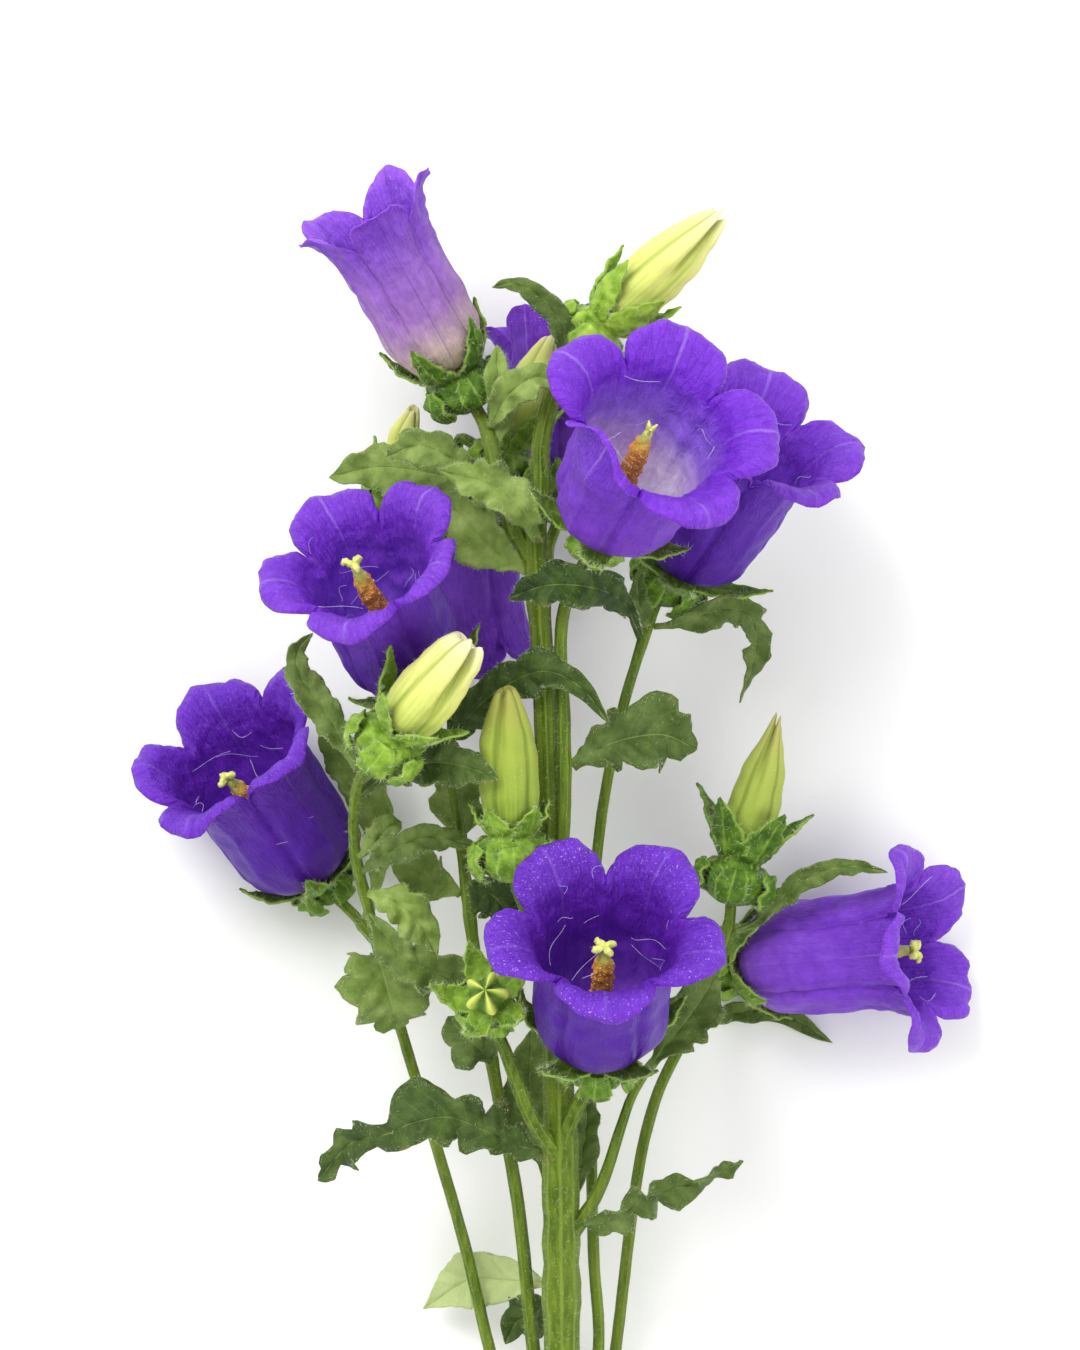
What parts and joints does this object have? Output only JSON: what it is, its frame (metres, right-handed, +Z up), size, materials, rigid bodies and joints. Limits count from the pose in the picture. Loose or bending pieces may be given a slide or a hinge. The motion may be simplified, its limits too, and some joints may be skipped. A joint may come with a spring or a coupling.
{
  "type": "cut campanula flower stem",
  "caption": "Branched cut stem with open violet bell flowers, pale buds and toothed leaves, lying on its side.",
  "frame": {"origin": "middle of the bounding box in plan, at the height of the table that the stem lies on", "axes": "+Y along the main stem from its cut end to its flowering tip, +Z up from the table, +X to the right as the picture shows it"},
  "size_m": [0.1706, 0.3264, 0.1038],
  "materials": {
    "stem_green": "living green stem and calyx, ribbed and finely hairy, matt",
    "leaf_green": "living leaf, grey green, finely hairy, with a paler midrib",
    "petal_violet": "violet petal, soft and silky, with paler middle veins",
    "young_petal": "young petal, pinkish lilac at its foot to violet at its lobes",
    "bud_yellow": "closed bud, pale lime yellow, pleated",
    "style_yellow": "style with orange brown pollen and a pale yellow stigma, granular"
  },
  "bodies": {
    "root": {"branched_stem": "stem_green", "bud_mid": "bud_yellow", "bud_mid_left": "bud_yellow", "bud_right": "bud_yellow", "bud_small_left": "bud_yellow", "bud_star": "bud_yellow", "bud_top_mid": "bud_yellow", "bud_top_right": "bud_yellow", "corolla_far_left": "petal_violet", "corolla_low_front": "petal_violet", "corolla_low_right": "petal_violet", "corolla_mid_back": "petal_violet", "corolla_mid_left": "petal_violet", "corolla_top_back": "petal_violet", "corolla_top_front": "petal_violet", "corolla_top_left": "young_petal", "corolla_upper_right": "petal_violet", "leaf_bottom_dark": "leaf_green", "leaf_bottom_left": "leaf_green", "leaf_by_low_front": "leaf_green", "leaf_centre_dark": "leaf_green", "leaf_centre_low": "leaf_green", "leaf_inner_dark": "leaf_green", "leaf_inner_low": "leaf_green", "leaf_left_behind": "leaf_green", "leaf_left_big_behind": "leaf_green", "leaf_left_hanging": "leaf_green", "leaf_left_inner": "leaf_green", "leaf_left_mid": "leaf_green", "leaf_left_pale": "leaf_green", "leaf_left_upper": "leaf_green", "leaf_low_left": "leaf_green", "leaf_low_right": "leaf_green", "leaf_mid_arch": "leaf_green", "leaf_mid_behind": "leaf_green", "leaf_mid_dark": "leaf_green", "leaf_mid_low": "leaf_green", "leaf_mid_right": "leaf_green", "leaf_right_arch": "leaf_green", "leaf_right_low_back": "leaf_green", "leaf_right_sliver": "leaf_green", "leaf_right_under": "leaf_green", "leaf_top_arch": "leaf_green", "leaf_top_bract": "leaf_green", "leaf_top_mid": "leaf_green", "leaf_under_top_front": "leaf_green", "leaf_upper_behind": "leaf_green", "leaf_upper_left": "leaf_green", "leaf_upper_left_back": "leaf_green", "leaf_upper_mid": "leaf_green", "style_far_left": "style_yellow", "style_low_front": "style_yellow", "style_low_right": "style_yellow", "style_mid_back": "style_yellow", "style_mid_left": "style_yellow", "style_top_back": "style_yellow", "style_top_front": "style_yellow", "style_top_left": "style_yellow", "style_upper_right": "style_yellow"}
  },
  "joints": []
}
